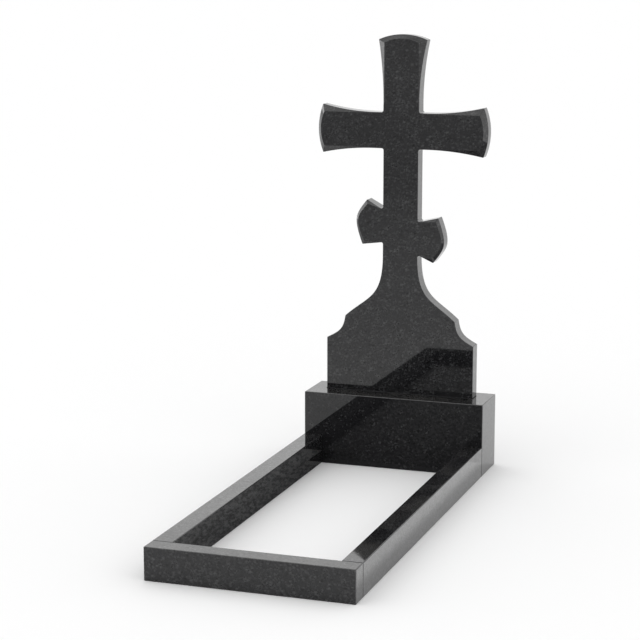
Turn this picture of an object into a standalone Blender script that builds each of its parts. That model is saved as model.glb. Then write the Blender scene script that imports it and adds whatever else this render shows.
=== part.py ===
# Grave monument of polished black granite: a cross-topped slab on a block, with a low surround.
#
# Axes: +X to the viewer's right, +Y from the foot of the plot towards the slab, +Z up.
# Origin: on the ground, in the middle of the whole footprint. Units are metres.
# The slab's own heights are measured from the top of the block that it stands on, and its
# widths are half widths from its centre line.

import math

import bmesh
import bpy

OBJECT_NAME = "grave_monument"

# Surround and block
PLOT_WIDTH = 0.500
CURB_HEIGHT = 0.080
CURB_THICKNESS = 0.050
FRONT_CURB_THICKNESS = 0.050
SIDE_CURB_LENGTH = 1.029
PEDESTAL_HEIGHT = 0.197
PEDESTAL_DEPTH = 0.140
BLOCK_ARRIS = 0.0022

# Clearance where two stones meet
JOINT_GAP = 0.0003

# Slab
SLAB_THICKNESS = 0.042
SLAB_SETBACK = 0.061
SLAB_ARRIS = 0.0005

# Body of the slab: straight sides, a hollow shoulder, then a sweep up into the shaft
BODY_HALF = 0.206
SHOULDER_LOW = 0.1425
SHOULDER_HALF = 0.154
SHOULDER_HIGH = 0.206
SHOULDER_START_ANGLE = 26.7
SHOULDER_START_PULL = 0.040
SHOULDER_END_ANGLE = 81.9
SHOULDER_END_PULL = 0.038
SWEEP_TOP = 0.380
SWEEP_ANGLE = 42.0
SWEEP_START_PULL = 0.088
SWEEP_END_PULL = 0.122

# Shaft and main cross
SHAFT_HALF = 0.0483
CROSS_HEIGHT = 0.713
ARM_HALF = 0.048
ARM_REACH = 0.2220
ARM_TIP_HALF = 0.0652
ARM_BOW = 0.0128
TOP_HALF = 0.0494
TOP_REACH = 0.239
TOP_TIP_HALF = 0.0668
TOP_BOW = 0.014
FLARE_START = 0.074
CROSS_FILLET = 0.0055

# Slanted lower bar. Its upper end is on the viewer's left. Each end is a rounded bend between two
# nearly straight runs, and the bend lies a share of the way from the middle to the outer corner.
BAR_HEIGHT = 0.4417
BAR_ROOT_HALF = 0.0440
BAR_ROOT_DROP = 0.0148
BAR_END_HEIGHT = 0.44385
BAR_LOW_REACH = 0.0970
BAR_HIGH_REACH = 0.1012
BAR_END_DROP = 0.02105
BAR_TIP_HALF = 0.0611
BAR_END_TILT = 6.1
BAR_BOW = 0.0238
BAR_BEND_SHIFT = 0.13
BAR_BEND_SOFTNESS = 0.55
BAR_FILLET = 0.0050

# Facets along the edges of the flared arms, on the front only
FACET_DEPTH = 0.014
FACET_MIDDLE = 0.0102
FACET_CORNER = 0.0078
FACET_ROOT = 0.0018
BAR_FACET_DEPTH = 0.006
BAR_FACET_MIDDLE = 0.0090
BAR_FACET_CORNER = 0.0081

# Number of straight pieces in each round stretch
SHOULDER_STEPS = 14
SWEEP_STEPS = 22
FILLET_STEPS = 4
FLARE_STEPS = 10
TIP_STEPS = 14

# Stone, as it looks
STONE_COLOUR = (0.015, 0.015, 0.016, 1.0)
STONE_ROUGHNESS = 0.10

SMOOTH_ANGLE = 25.0

FOOTPRINT_LENGTH = FRONT_CURB_THICKNESS + SIDE_CURB_LENGTH + PEDESTAL_DEPTH + 2 * JOINT_GAP
FRONT_Y = -FOOTPRINT_LENGTH / 2
SIDE_CURB_Y = FRONT_Y + FRONT_CURB_THICKNESS + JOINT_GAP
PEDESTAL_Y = SIDE_CURB_Y + SIDE_CURB_LENGTH + JOINT_GAP
SLAB_Y = PEDESTAL_Y + SLAB_SETBACK
SLAB_Z = PEDESTAL_HEIGHT + JOINT_GAP


def clear_scene():
    for item in list(bpy.data.objects):
        bpy.data.objects.remove(item, do_unlink=True)


def new_collection(name):
    collection = bpy.data.collections.new(name)
    bpy.context.scene.collection.children.link(collection)
    return collection


def stone(name):
    material = bpy.data.materials.new(name)
    material.use_nodes = True
    shader = material.node_tree.nodes["Principled BSDF"]
    shader.inputs["Base Color"].default_value = STONE_COLOUR
    shader.inputs["Roughness"].default_value = STONE_ROUGHNESS
    shader.inputs["Metallic"].default_value = 0.0
    return material


def finish_piece(piece, collection, parent):
    for owner in list(piece.users_collection):
        owner.objects.unlink(piece)
    collection.objects.link(piece)
    piece.parent = parent
    piece.data.materials.clear()
    piece.data.materials.append(stone(piece.name + "_stone"))
    piece.data.shade_smooth()
    piece.data.set_sharp_from_angle(angle=math.radians(SMOOTH_ANGLE))


# Sawn block that stands on the ground, given by its near left corner and its size, with its
# edges eased
def block(name, corner_x, corner_y, size, collection, parent):
    bpy.ops.mesh.primitive_cube_add(size=1.0)
    piece = bpy.context.active_object
    piece.name = name
    piece.data.name = name
    piece.scale = size
    bpy.ops.object.transform_apply(location=False, rotation=False, scale=True)
    piece.location = (corner_x + size[0] / 2, corner_y + size[1] / 2, size[2] / 2)
    arris = piece.modifiers.new("arris", "BEVEL")
    arris.width = BLOCK_ARRIS
    arris.segments = 2
    arris.limit_method = "ANGLE"
    finish_piece(piece, collection, parent)
    return piece


def mix(start, end, share):
    return tuple(a + (b - a) * share for a, b in zip(start, end))


# Cubic curve that leaves each end along a given direction, as steps + 1 points
def bezier(start, start_pull, end_pull, end, steps):
    points = []
    for step in range(steps + 1):
        t = step / steps
        a = mix(start, start_pull, t)
        b = mix(start_pull, end_pull, t)
        c = mix(end_pull, end, t)
        points.append(mix(mix(a, b, t), mix(b, c, t), t))
    return points


# Circular arc from start to end, bowed out to the right of the way by bow
def bowed_arc(start, end, bow, steps):
    chord = math.dist(start, end)
    radius = (chord * chord / 4 + bow * bow) / (2 * bow)
    along = ((end[0] - start[0]) / chord, (end[1] - start[1]) / chord)
    right = (along[1], -along[0])
    middle = mix(start, end, 0.5)
    centre = (middle[0] - right[0] * (radius - bow), middle[1] - right[1] * (radius - bow))
    half_angle = math.asin(chord / 2 / radius)
    points = []
    for step in range(steps + 1):
        angle = half_angle * (2 * step / steps - 1)
        reach = (math.cos(angle) * radius, math.sin(angle) * radius)
        points.append((
            centre[0] + right[0] * reach[0] + along[0] * reach[1],
            centre[1] + right[1] * reach[0] + along[1] * reach[1],
        ))
    return points


# Rounded bend from start to end, bowed out to the right of the way. shift moves its peak along
# the way, from -1 at the start to 1 at the end.
def bent_run(start, end, bow, shift):
    chord = math.dist(start, end)
    along = ((end[0] - start[0]) / chord, (end[1] - start[1]) / chord)
    peak = math.hypot(1.0, BAR_BEND_SOFTNESS)
    points = []
    for step in range(TIP_STEPS + 1):
        way = 2 * step / TIP_STEPS - 1
        from_peak = (way - shift) / (1 - shift if way > shift else 1 + shift)
        out = bow * (peak - math.hypot(from_peak, BAR_BEND_SOFTNESS)) / (peak - BAR_BEND_SOFTNESS)
        run = chord * step / TIP_STEPS
        points.append((
            start[0] + along[0] * run + along[1] * out,
            start[1] + along[1] * run - along[0] * out,
        ))
    return points


# Inside corner rounded off to a radius, between the straight runs to before and after
def rounded_corner(before, corner, after, radius):
    to_before = (before[0] - corner[0], before[1] - corner[1])
    to_after = (after[0] - corner[0], after[1] - corner[1])
    before_length = math.hypot(*to_before)
    after_length = math.hypot(*to_after)
    cosine = (to_before[0] * to_after[0] + to_before[1] * to_after[1]) / before_length / after_length
    half = math.acos(cosine) / 2
    setback = radius / math.tan(half)
    start = mix(corner, before, setback / before_length)
    end = mix(corner, after, setback / after_length)
    bow = radius * (1 - math.sin(half))
    turn = to_before[0] * to_after[1] - to_before[1] * to_after[0]
    if turn > 0:
        return list(reversed(bowed_arc(end, start, bow, FILLET_STEPS)))
    return bowed_arc(start, end, bow, FILLET_STEPS)


# A station is one point of the slab's outline: where the side wall starts, how deep it starts
# behind the front, and where the front face's own edge is. A plain edge leaves the last open.
def plain(points):
    return [(point, None, SLAB_ARRIS) for point in points]


# Flare of an arm from its straight root to its tip, as how far it widens at a share of the way
def flare_width(share, length, gain):
    radius = (length * length + gain * gain) / (2 * gain)
    run = share * length
    return radius - math.sqrt(radius * radius - run * run)


# One flared edge, from root to tip. place(out, side) turns a distance along the arm and one
# across it into the slab's plane. The facet is a plane through a straight line on the face.
def flared_edge(place, half, reach, tip_half):
    length = reach - FLARE_START
    gain = tip_half - half
    slope = FACET_DEPTH / (gain + FACET_ROOT)
    stations = []
    for step in range(FLARE_STEPS + 1):
        share = step / FLARE_STEPS
        widened = flare_width(share, length, gain)
        outline = place(FLARE_START + share * length, half + widened)
        face = place(FLARE_START + share * (length - FACET_CORNER), half - FACET_ROOT)
        stations.append((outline, face, slope * (widened + FACET_ROOT)))
    return stations


# Bowed end of an arm between its two tip corners, with the inner corners of its facet
def bowed_end(corners, inner_corners, bow, inner_bow, depth):
    outline = bowed_arc(*corners, bow, TIP_STEPS)
    face = bowed_arc(*inner_corners, inner_bow, TIP_STEPS)
    return [(outer, inner, depth) for outer, inner in zip(outline, face)]


# Side arm of the main cross, from its lower root round its end to its upper root
def cross_arm():
    def below(out, side):
        return (out, CROSS_HEIGHT - side)

    def above(out, side):
        return (out, CROSS_HEIGHT + side)

    inner_bow = ARM_BOW - FACET_MIDDLE + FACET_CORNER
    inner_half = ARM_HALF - FACET_ROOT
    end = bowed_end(
        (below(ARM_REACH, ARM_TIP_HALF), above(ARM_REACH, ARM_TIP_HALF)),
        (below(ARM_REACH - FACET_CORNER, inner_half), above(ARM_REACH - FACET_CORNER, inner_half)),
        ARM_BOW,
        inner_bow,
        FACET_DEPTH,
    )
    lower = flared_edge(below, ARM_HALF, ARM_REACH, ARM_TIP_HALF)
    upper = flared_edge(above, ARM_HALF, ARM_REACH, ARM_TIP_HALF)
    return lower[:-1] + end + list(reversed(upper[:-1]))


# Half of the top arm, from its root to the middle of its bowed end
def top_arm():
    def place(out, side):
        return (side, CROSS_HEIGHT + out)

    inner_half = TOP_HALF - FACET_ROOT
    inner_bow = TOP_BOW - FACET_MIDDLE + FACET_CORNER
    end = bowed_end(
        ((TOP_TIP_HALF, CROSS_HEIGHT + TOP_REACH), (-TOP_TIP_HALF, CROSS_HEIGHT + TOP_REACH)),
        (place(TOP_REACH - FACET_CORNER, inner_half), place(TOP_REACH - FACET_CORNER, -inner_half)),
        TOP_BOW,
        inner_bow,
        FACET_DEPTH,
    )
    return flared_edge(place, TOP_HALF, TOP_REACH, TOP_TIP_HALF)[:-1] + end[: TIP_STEPS // 2 + 1]


# Heights of the slanted bar on one side. side is 1 on the viewer's right, where the bar runs
# down, and -1 on the left, where it runs up.
def bar_corners(side):
    root = BAR_HEIGHT - side * BAR_ROOT_DROP
    end = BAR_END_HEIGHT - side * BAR_END_DROP
    reach = BAR_LOW_REACH if side > 0 else BAR_HIGH_REACH
    tilt = math.radians(BAR_END_TILT)
    lean = side * math.sin(tilt) * BAR_TIP_HALF
    rise = math.cos(tilt) * BAR_TIP_HALF
    return {
        "root_low": (SHAFT_HALF, root - BAR_ROOT_HALF),
        "root_high": (SHAFT_HALF, root + BAR_ROOT_HALF),
        "tip_low": (reach - lean, end - rise),
        "tip_high": (reach + lean, end + rise),
    }


# Point at a distance inwards from the line between two outline points, beside the second one
def inward(start, end, distance, back):
    length = math.dist(start, end)
    along = ((end[0] - start[0]) / length, (end[1] - start[1]) / length)
    return (
        end[0] - along[1] * distance - along[0] * back,
        end[1] + along[0] * distance - along[1] * back,
    )


# One side of the slanted bar, from its lower root round its end to its upper root
def slanted_bar(side):
    corner = bar_corners(side)
    inner_low = inward(corner["root_low"], corner["tip_low"], BAR_FACET_CORNER, BAR_FACET_CORNER)
    mirrored = inward(
        (corner["root_high"][0], -corner["root_high"][1]),
        (corner["tip_high"][0], -corner["tip_high"][1]),
        BAR_FACET_CORNER,
        BAR_FACET_CORNER,
    )
    inner_high = (mirrored[0], -mirrored[1])
    shift = -side * BAR_BEND_SHIFT
    inner_bow = BAR_BOW - BAR_FACET_MIDDLE + BAR_FACET_CORNER
    outline = bent_run(corner["tip_low"], corner["tip_high"], BAR_BOW, shift)
    face = bent_run(inner_low, inner_high, inner_bow, shift)
    end = [(outer, inner, BAR_FACET_DEPTH) for outer, inner in zip(outline, face)]
    below = (SHAFT_HALF, corner["root_low"][1] - BAR_TIP_HALF)
    above = (SHAFT_HALF, corner["root_high"][1] + BAR_TIP_HALF)
    low_root = rounded_corner(below, corner["root_low"], corner["tip_low"], BAR_FILLET)
    high_root = rounded_corner(corner["tip_high"], corner["root_high"], above, BAR_FILLET)
    return plain(low_root) + end + plain(high_root)


# The slab's outline up one side, from the corner of its foot to the middle of its top
def slab_side(side):
    shoulder_start = (BODY_HALF, SHOULDER_LOW)
    shoulder_end = (SHOULDER_HALF, SHOULDER_HIGH)
    start_angle = math.radians(SHOULDER_START_ANGLE)
    end_angle = math.radians(SHOULDER_END_ANGLE)
    sweep_angle = math.radians(SWEEP_ANGLE)
    shoulder = bezier(
        shoulder_start,
        (
            BODY_HALF - SHOULDER_START_PULL * math.cos(start_angle),
            SHOULDER_LOW + SHOULDER_START_PULL * math.sin(start_angle),
        ),
        (
            SHOULDER_HALF + SHOULDER_END_PULL * math.cos(end_angle),
            SHOULDER_HIGH - SHOULDER_END_PULL * math.sin(end_angle),
        ),
        shoulder_end,
        SHOULDER_STEPS,
    )
    sweep = bezier(
        shoulder_end,
        (
            SHOULDER_HALF - SWEEP_START_PULL * math.cos(sweep_angle),
            SHOULDER_HIGH + SWEEP_START_PULL * math.sin(sweep_angle),
        ),
        (SHAFT_HALF, SWEEP_TOP - SWEEP_END_PULL),
        (SHAFT_HALF, SWEEP_TOP),
        SWEEP_STEPS,
    )
    # The bar's root on the right comes down to just above the end of the sweep
    sweep = [point for point in sweep if point[1] < bar_corners(side)["root_low"][1] - 2 * BAR_FILLET]
    lower_corner = (SHAFT_HALF, CROSS_HEIGHT - ARM_HALF)
    upper_corner = (TOP_HALF, CROSS_HEIGHT + ARM_HALF)
    under_arm = rounded_corner(
        (SHAFT_HALF, BAR_END_HEIGHT + BAR_TIP_HALF),
        lower_corner,
        (FLARE_START, lower_corner[1]),
        CROSS_FILLET,
    )
    over_arm = rounded_corner(
        (FLARE_START, upper_corner[1]),
        upper_corner,
        (TOP_HALF, CROSS_HEIGHT + FLARE_START),
        CROSS_FILLET,
    )
    return (
        plain([(BODY_HALF, 0.0)] + shoulder[:-1] + sweep)
        + slanted_bar(side)
        + plain(under_arm)
        + cross_arm()
        + plain(over_arm)
        + top_arm()
    )


# Point moved inwards by distance from the corner that the outline makes there
def offset_point(before, point, after, distance):
    first = (point[0] - before[0], point[1] - before[1])
    second = (after[0] - point[0], after[1] - point[1])
    first_length = math.hypot(*first)
    second_length = math.hypot(*second)
    normal = (
        -first[1] / first_length - second[1] / second_length,
        first[0] / first_length + second[0] / second_length,
    )
    length_squared = normal[0] ** 2 + normal[1] ** 2
    return (
        point[0] + 2 * distance * normal[0] / length_squared,
        point[1] + 2 * distance * normal[1] / length_squared,
    )


# The slab as a loft: front face, facet or arris, side wall, arris, back face
def build_slab(collection, parent):
    right = slab_side(1)
    left = [
        ((-point[0], point[1]), face and (-face[0], face[1]), depth)
        for point, face, depth in slab_side(-1)
    ]
    stations = right + list(reversed(left[:-1]))
    outline = [station[0] for station in stations]
    count = len(stations)
    mesh = bpy.data.meshes.new("stele")
    work = bmesh.new()
    rings = [[], [], [], []]
    for index, (point, face, depth) in enumerate(stations):
        before = outline[index - 1]
        after = outline[(index + 1) % count]
        eased = offset_point(before, point, after, SLAB_ARRIS)
        front = face or eased
        rings[0].append(work.verts.new((front[0], 0.0, front[1])))
        rings[1].append(work.verts.new((point[0], depth, point[1])))
        rings[2].append(work.verts.new((point[0], SLAB_THICKNESS - SLAB_ARRIS, point[1])))
        rings[3].append(work.verts.new((eased[0], SLAB_THICKNESS, eased[1])))
    for near, far in zip(rings, rings[1:]):
        for index in range(count):
            following = (index + 1) % count
            work.faces.new((near[index], near[following], far[following], far[index]))
    work.faces.new(list(reversed(rings[0])))
    work.faces.new(rings[3])
    bmesh.ops.recalc_face_normals(work, faces=work.faces)
    bmesh.ops.triangulate(work, faces=work.faces)
    work.to_mesh(mesh)
    work.free()
    piece = bpy.data.objects.new("stele", mesh)
    collection.objects.link(piece)
    piece.location = (0.0, SLAB_Y, SLAB_Z)
    finish_piece(piece, collection, parent)
    return piece


def main():
    clear_scene()
    collection = new_collection(OBJECT_NAME)
    root = bpy.data.objects.new(OBJECT_NAME, None)
    collection.objects.link(root)
    left_x = -PLOT_WIDTH / 2
    side_size = (CURB_THICKNESS, SIDE_CURB_LENGTH, CURB_HEIGHT)
    front_size = (PLOT_WIDTH, FRONT_CURB_THICKNESS, CURB_HEIGHT)
    pedestal_size = (PLOT_WIDTH, PEDESTAL_DEPTH, PEDESTAL_HEIGHT)
    block("front_curb", left_x, FRONT_Y, front_size, collection, root)
    block("left_curb", left_x, SIDE_CURB_Y, side_size, collection, root)
    block("right_curb", -left_x - CURB_THICKNESS, SIDE_CURB_Y, side_size, collection, root)
    block("pedestal", left_x, PEDESTAL_Y, pedestal_size, collection, root)
    build_slab(collection, root)
    bpy.context.view_layer.update()


main()
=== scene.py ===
import math

import bmesh
import bpy
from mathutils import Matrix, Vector


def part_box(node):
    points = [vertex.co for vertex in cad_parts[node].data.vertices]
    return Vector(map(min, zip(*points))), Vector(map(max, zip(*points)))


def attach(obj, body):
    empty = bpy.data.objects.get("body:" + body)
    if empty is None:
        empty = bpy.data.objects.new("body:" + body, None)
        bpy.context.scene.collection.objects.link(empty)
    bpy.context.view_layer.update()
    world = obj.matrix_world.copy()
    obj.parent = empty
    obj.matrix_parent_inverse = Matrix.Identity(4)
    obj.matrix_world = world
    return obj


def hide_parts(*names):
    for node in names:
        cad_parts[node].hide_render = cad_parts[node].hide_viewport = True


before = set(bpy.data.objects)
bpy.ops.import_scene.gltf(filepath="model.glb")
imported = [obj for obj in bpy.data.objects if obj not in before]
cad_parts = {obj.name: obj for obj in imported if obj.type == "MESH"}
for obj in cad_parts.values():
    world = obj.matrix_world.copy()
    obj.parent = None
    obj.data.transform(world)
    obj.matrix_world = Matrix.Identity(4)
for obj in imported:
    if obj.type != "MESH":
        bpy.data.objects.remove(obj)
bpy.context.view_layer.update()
print("frame loaded:", ", ".join(sorted(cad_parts)))

# Small helpers for objects, finishes and node trees


def newObject(name, data):
    made = bpy.data.objects.new(name, data)
    bpy.context.scene.collection.objects.link(made)
    return made


def newFinish(name):
    material = bpy.data.materials.new(name)
    material.use_nodes = True
    return material, material.node_tree, material.node_tree.nodes["Principled BSDF"]


def addNode(tree, kind, values=None, **settings):  # a value is a number, a colour or a socket to link
    made = tree.nodes.new(kind)
    for name, value in settings.items():
        setattr(made, name, value)
    for key, value in (values or {}).items():
        if isinstance(value, bpy.types.NodeSocket):
            tree.links.new(value, made.inputs[key])
        else:
            made.inputs[key].default_value = value
    return made


def calc(tree, operation, *values):  # one Math node, its result socket
    return addNode(tree, "ShaderNodeMath", dict(enumerate(values)), operation=operation).outputs[0]


def vectorCalc(tree, operation, *values):  # one Vector Math node, its result socket
    made = addNode(tree, "ShaderNodeVectorMath", dict(enumerate(values)), operation=operation)
    return made.outputs["Value" if operation == "DOT_PRODUCT" else "Vector"]


def scaled(tree, vector, factor):
    values = {0: vector, "Scale": factor}
    return addNode(tree, "ShaderNodeVectorMath", values, operation="SCALE").outputs["Vector"]


def onAllAxes(tree, value):
    return addNode(tree, "ShaderNodeCombineXYZ", {"X": value, "Y": value, "Z": value}).outputs[0]


def ramp(tree, value, low, high):  # 0 below low, 1 above high, smooth between
    ends = {"Value": value, "From Min": low, "From Max": high}
    return addNode(tree, "ShaderNodeMapRange", ends, interpolation_type="SMOOTHSTEP").outputs["Result"]


def blendColour(tree, share, first, second, mode="MIX"):
    values = {0: share, 6: first, 7: second}
    return addNode(tree, "ShaderNodeMix", values, data_type="RGBA", blend_type=mode).outputs[2]


def noise(tree, place, scale, detail):
    return addNode(tree, "ShaderNodeTexNoise", {"Vector": place, "Scale": scale, "Detail": detail}).outputs


def objectPlace(tree):
    return addNode(tree, "ShaderNodeTexCoord").outputs["Object"]


def newGroup(name, inputs, outputs):
    tree = bpy.data.node_groups.new(name, "ShaderNodeTree")
    for label, kind, start in inputs:
        socket = tree.interface.new_socket(label, in_out="INPUT", socket_type="NodeSocket" + kind)
        if start is not None:
            socket.default_value = start
    for label, kind in outputs:
        tree.interface.new_socket(label, in_out="OUTPUT", socket_type="NodeSocket" + kind)
    entry = tree.nodes.new("NodeGroupInput")
    leave = tree.nodes.new("NodeGroupOutput")
    return tree, entry.outputs, leave.inputs


def useGroup(tree, group, values):
    return addNode(tree, "ShaderNodeGroup", values, node_tree=group).outputs


# Mineral grain of a black gabbro: dark crystals, soft grey flecks in loose clusters, blacker spots.
# Noise is given as its scale and detail.
grainPattern = {
    "wobble": (210.0, 2.0),
    "wobbleReach": 0.55,  # as a share of a fleck
    "clusters": (27.0, 3.0),
    "clusterEdges": (0.40, 0.64),
    "thinnest": 0.65,  # density of flecks outside the clusters
    "clusterGain": 0.75,
    "stretch": (1, 1.55, 1.55),
    "leastReach": 0.38,  # of a spot in its cell
    "reachGain": 0.35,
    "faintest": 0.25,
    "fleckLayers": (((0.4, 0.9, 0.2), 1.0), ((1.9, 0.3, 1.2), 0.72), ((2.8, 1.7, 2.4), 0.5)),  # turn, size
    "darkLayer": ((1.1, 2.2, 0.7), 0.85, 0.45),  # turn, size, share of the cells
    "darkOnFlecks": -0.8,
    "darkOnGround": -0.85,
    "darkestCrystal": 0.65,
    "crystalGain": 0.7,
}


def graniteGrainGroup():
    p = grainPattern
    tree, given, result = newGroup(
        "graniteGrain",
        [
            ("Vector", "Vector", None),
            ("Grain Size", "Float", 0.0016),
            ("Fleck Size", "Float", 0.008),
            ("Fleck Share", "Float", 0.35),
            ("Ground", "Color", (0.012, 0.012, 0.013, 1)),
            ("Fleck", "Color", (0.06, 0.062, 0.064, 1)),
        ],
        [("Colour", "Color"), ("Flecks", "Float"), ("Grains", "Float"), ("Dark Spots", "Float")],
    )
    wobble = noise(tree, given["Vector"], *p["wobble"])["Color"]
    drift = vectorCalc(tree, "SUBTRACT", wobble, (0.5, 0.5, 0.5))
    reach = calc(tree, "MULTIPLY", given["Fleck Size"], p["wobbleReach"])
    place = vectorCalc(tree, "ADD", given["Vector"], scaled(tree, drift, reach))

    grainScale = calc(tree, "DIVIDE", 1.0, given["Grain Size"])
    cells = addNode(tree, "ShaderNodeTexVoronoi", {"Vector": place, "Scale": grainScale})
    cellTone = addNode(tree, "ShaderNodeSeparateColor", {"Color": cells.outputs["Color"]}).outputs["Red"]

    cluster = ramp(tree, noise(tree, given["Vector"], *p["clusters"])["Fac"], *p["clusterEdges"])
    density = calc(tree, "MULTIPLY_ADD", cluster, p["clusterGain"], p["thinnest"])
    share = calc(tree, "MULTIPLY", given["Fleck Share"], density)

    def scattered(turn, size, chosen):  # soft spots of uneven size, on a share of the cells
        turned = addNode(tree, "ShaderNodeMapping", {
            "Vector": place,
            "Rotation": turn,
            "Scale": p["stretch"],
        })
        scale = calc(tree, "DIVIDE", 1.0 / size, given["Fleck Size"])
        cell = addNode(tree, "ShaderNodeTexVoronoi", {"Vector": turned.outputs[0], "Scale": scale})
        draw = addNode(tree, "ShaderNodeSeparateColor", {"Color": cell.outputs["Color"]}).outputs
        present = calc(tree, "LESS_THAN", draw["Green"], chosen)
        edge = calc(tree, "MULTIPLY_ADD", draw["Blue"], p["reachGain"], p["leastReach"])
        spot = calc(tree, "MULTIPLY", ramp(tree, cell.outputs["Distance"], edge, 0.0), present)
        return calc(tree, "MULTIPLY", spot, calc(tree, "ADD", draw["Red"], p["faintest"]))

    flecks = None
    for turn, size in p["fleckLayers"]:
        spots = scattered(turn, size, share)
        flecks = spots if flecks is None else calc(tree, "MAXIMUM", flecks, spots)
    dark = calc(tree, "MINIMUM", scattered(*p["darkLayer"]), 1.0)
    flecks = calc(tree, "MULTIPLY", flecks, calc(tree, "MULTIPLY_ADD", dark, p["darkOnFlecks"], 1.0))
    tone = calc(tree, "MULTIPLY_ADD", cellTone, p["crystalGain"], p["darkestCrystal"])
    tone = calc(tree, "MULTIPLY", tone, calc(tree, "MULTIPLY_ADD", dark, p["darkOnGround"], 1.0))
    ground = blendColour(tree, 1.0, given["Ground"], tone, "MULTIPLY")
    tree.links.new(blendColour(tree, flecks, ground, given["Fleck"]), result["Colour"])
    tree.links.new(flecks, result["Flecks"])
    tree.links.new(cellTone, result["Grains"])
    tree.links.new(dark, result["Dark Spots"])
    return tree


# Where an eased edge has lost some polish. Arris is 1 on the edge and 0 on the flats.
wearPattern = {
    "chips": (420.0, 3.0),
    "chipEdges": (0.38, 0.62),
    "betweenChips": 0.3,
}


def edgeWearGroup():
    p = wearPattern
    tree, given, result = newGroup(
        "edgeWear",
        [("Vector", "Vector", None), ("Arris", "Float", 0.0), ("Wear", "Float", 0.5)],
        [("Wear", "Float")],
    )
    chips = ramp(tree, noise(tree, given["Vector"], *p["chips"])["Fac"], *p["chipEdges"])
    broken = calc(tree, "MULTIPLY_ADD", chips, 1 - p["betweenChips"], p["betweenChips"])
    amount = calc(tree, "MULTIPLY", given["Arris"], broken)
    tree.links.new(calc(tree, "MULTIPLY", amount, given["Wear"]), result["Wear"])
    return tree


# Fine dust that settles on what faces up
dustPattern = {
    "facingUp": (0.3, 0.95),  # height of a face's normal where dust starts, and where it is full
    "patches": (9.0, 5.0),
    "patchEdges": (0.3, 0.75),
}


def settledDustGroup():
    p = dustPattern
    tree, given, result = newGroup(
        "settledDust",
        [("Vector", "Vector", None), ("Amount", "Float", 0.1)],
        [("Dust", "Float")],
    )
    facing = addNode(tree, "ShaderNodeNewGeometry").outputs["Normal"]
    up = ramp(tree, vectorCalc(tree, "DOT_PRODUCT", facing, (0, 0, 1)), *p["facingUp"])
    patch = ramp(tree, noise(tree, given["Vector"], *p["patches"])["Fac"], *p["patchEdges"])
    dust = calc(tree, "MULTIPLY", calc(tree, "MULTIPLY", up, patch), given["Amount"])
    tree.links.new(dust, result["Dust"])
    return tree


graniteGrain = graniteGrainGroup()
edgeWear = edgeWearGroup()
settledDust = settledDustGroup()
print("shared finishes made")

# Stone finishes. Each stone is cut from its own place in the block, so its pattern starts elsewhere.
polishedLook = {
    "ground": (0.0085, 0.0085, 0.0093, 1),
    "fleck": (0.037, 0.0375, 0.039, 1),
    "grainSize": 0.0019,
    "fleckSize": 0.0118,
    "fleckShare": 0.48,
    "ior": 1.45,
    "sheen": 0.12,  # mirroring on top of the ground's own, none on the dark spots
    "grainSheen": 0.24,
    "fleckSheen": 0.26,
    "polish": 0.014,  # roughness of the mirror polish
    "drift": (6.0, 4.0),
    "polishDrift": 0.012,  # how much the polish varies over a stone
    "fleckRoughness": 0.03,
    "wear": 0.55,
    "wornEdge": 0.22,  # roughness that the eased edges gain
    "edgePale": (0.11, 0.11, 0.112, 1),
    "dust": 0.08,
    "dustColour": (0.33, 0.32, 0.30, 1),
    "dustRoughness": 0.5,
    "fleckHeight": 0.5,
    "crystalHeight": 0.3,
    "reliefStrength": 0.015,
    "reliefDepth": 0.0002,
}
sawnLook = {
    "ground": (0.085, 0.086, 0.088, 1),
    "fleck": (0.16, 0.16, 0.162, 1),
    "pitch": 0.0042,  # from one saw mark to the next
    "slowPitch": 0.03066,
    "slowHeight": 0.5,
    "lean": 0.06,  # of the marks, in radians
    "climb": 0.3,  # of the marks from front to back
    "sway": (3.0, 2.0),
    "swayReach": 0.004,
    "shade": 0.97,
    "markShade": 0.04,
    "wear": 0.5,
    "roughness": 0.52,
    "crystalRoughness": 0.12,
    "crystalHeight": 0.35,
    "markHeight": 0.4,
    "reliefStrength": 0.5,
    "reliefDepth": 0.0003,
}


def stoneStart(name, offset, turn):
    material, tree, shader = newFinish(name)
    shader.inputs["IOR"].default_value = polishedLook["ior"]
    moved = addNode(tree, "ShaderNodeMapping", {
        "Vector": objectPlace(tree),
        "Location": offset,
        "Rotation": turn,
    })
    return material, tree, shader, moved.outputs["Vector"]


def stoneGrain(tree, place, ground, fleck, flecks=1.0):
    look = polishedLook
    return useGroup(tree, graniteGrain, {
        "Vector": place,
        "Grain Size": look["grainSize"],
        "Fleck Size": look["fleckSize"],
        "Fleck Share": look["fleckShare"] * flecks,
        "Ground": ground,
        "Fleck": fleck,
    })


def wornEdges(tree, place, amount):
    arris = addNode(tree, "ShaderNodeAttribute", attribute_name="arris").outputs["Fac"]
    return useGroup(tree, edgeWear, {"Vector": place, "Arris": arris, "Wear": amount})["Wear"]


def addRelief(tree, shader, height, strength, depth):
    bump = addNode(tree, "ShaderNodeBump", {"Height": height, "Strength": strength, "Distance": depth})
    tree.links.new(bump.outputs["Normal"], shader.inputs["Normal"])


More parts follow.
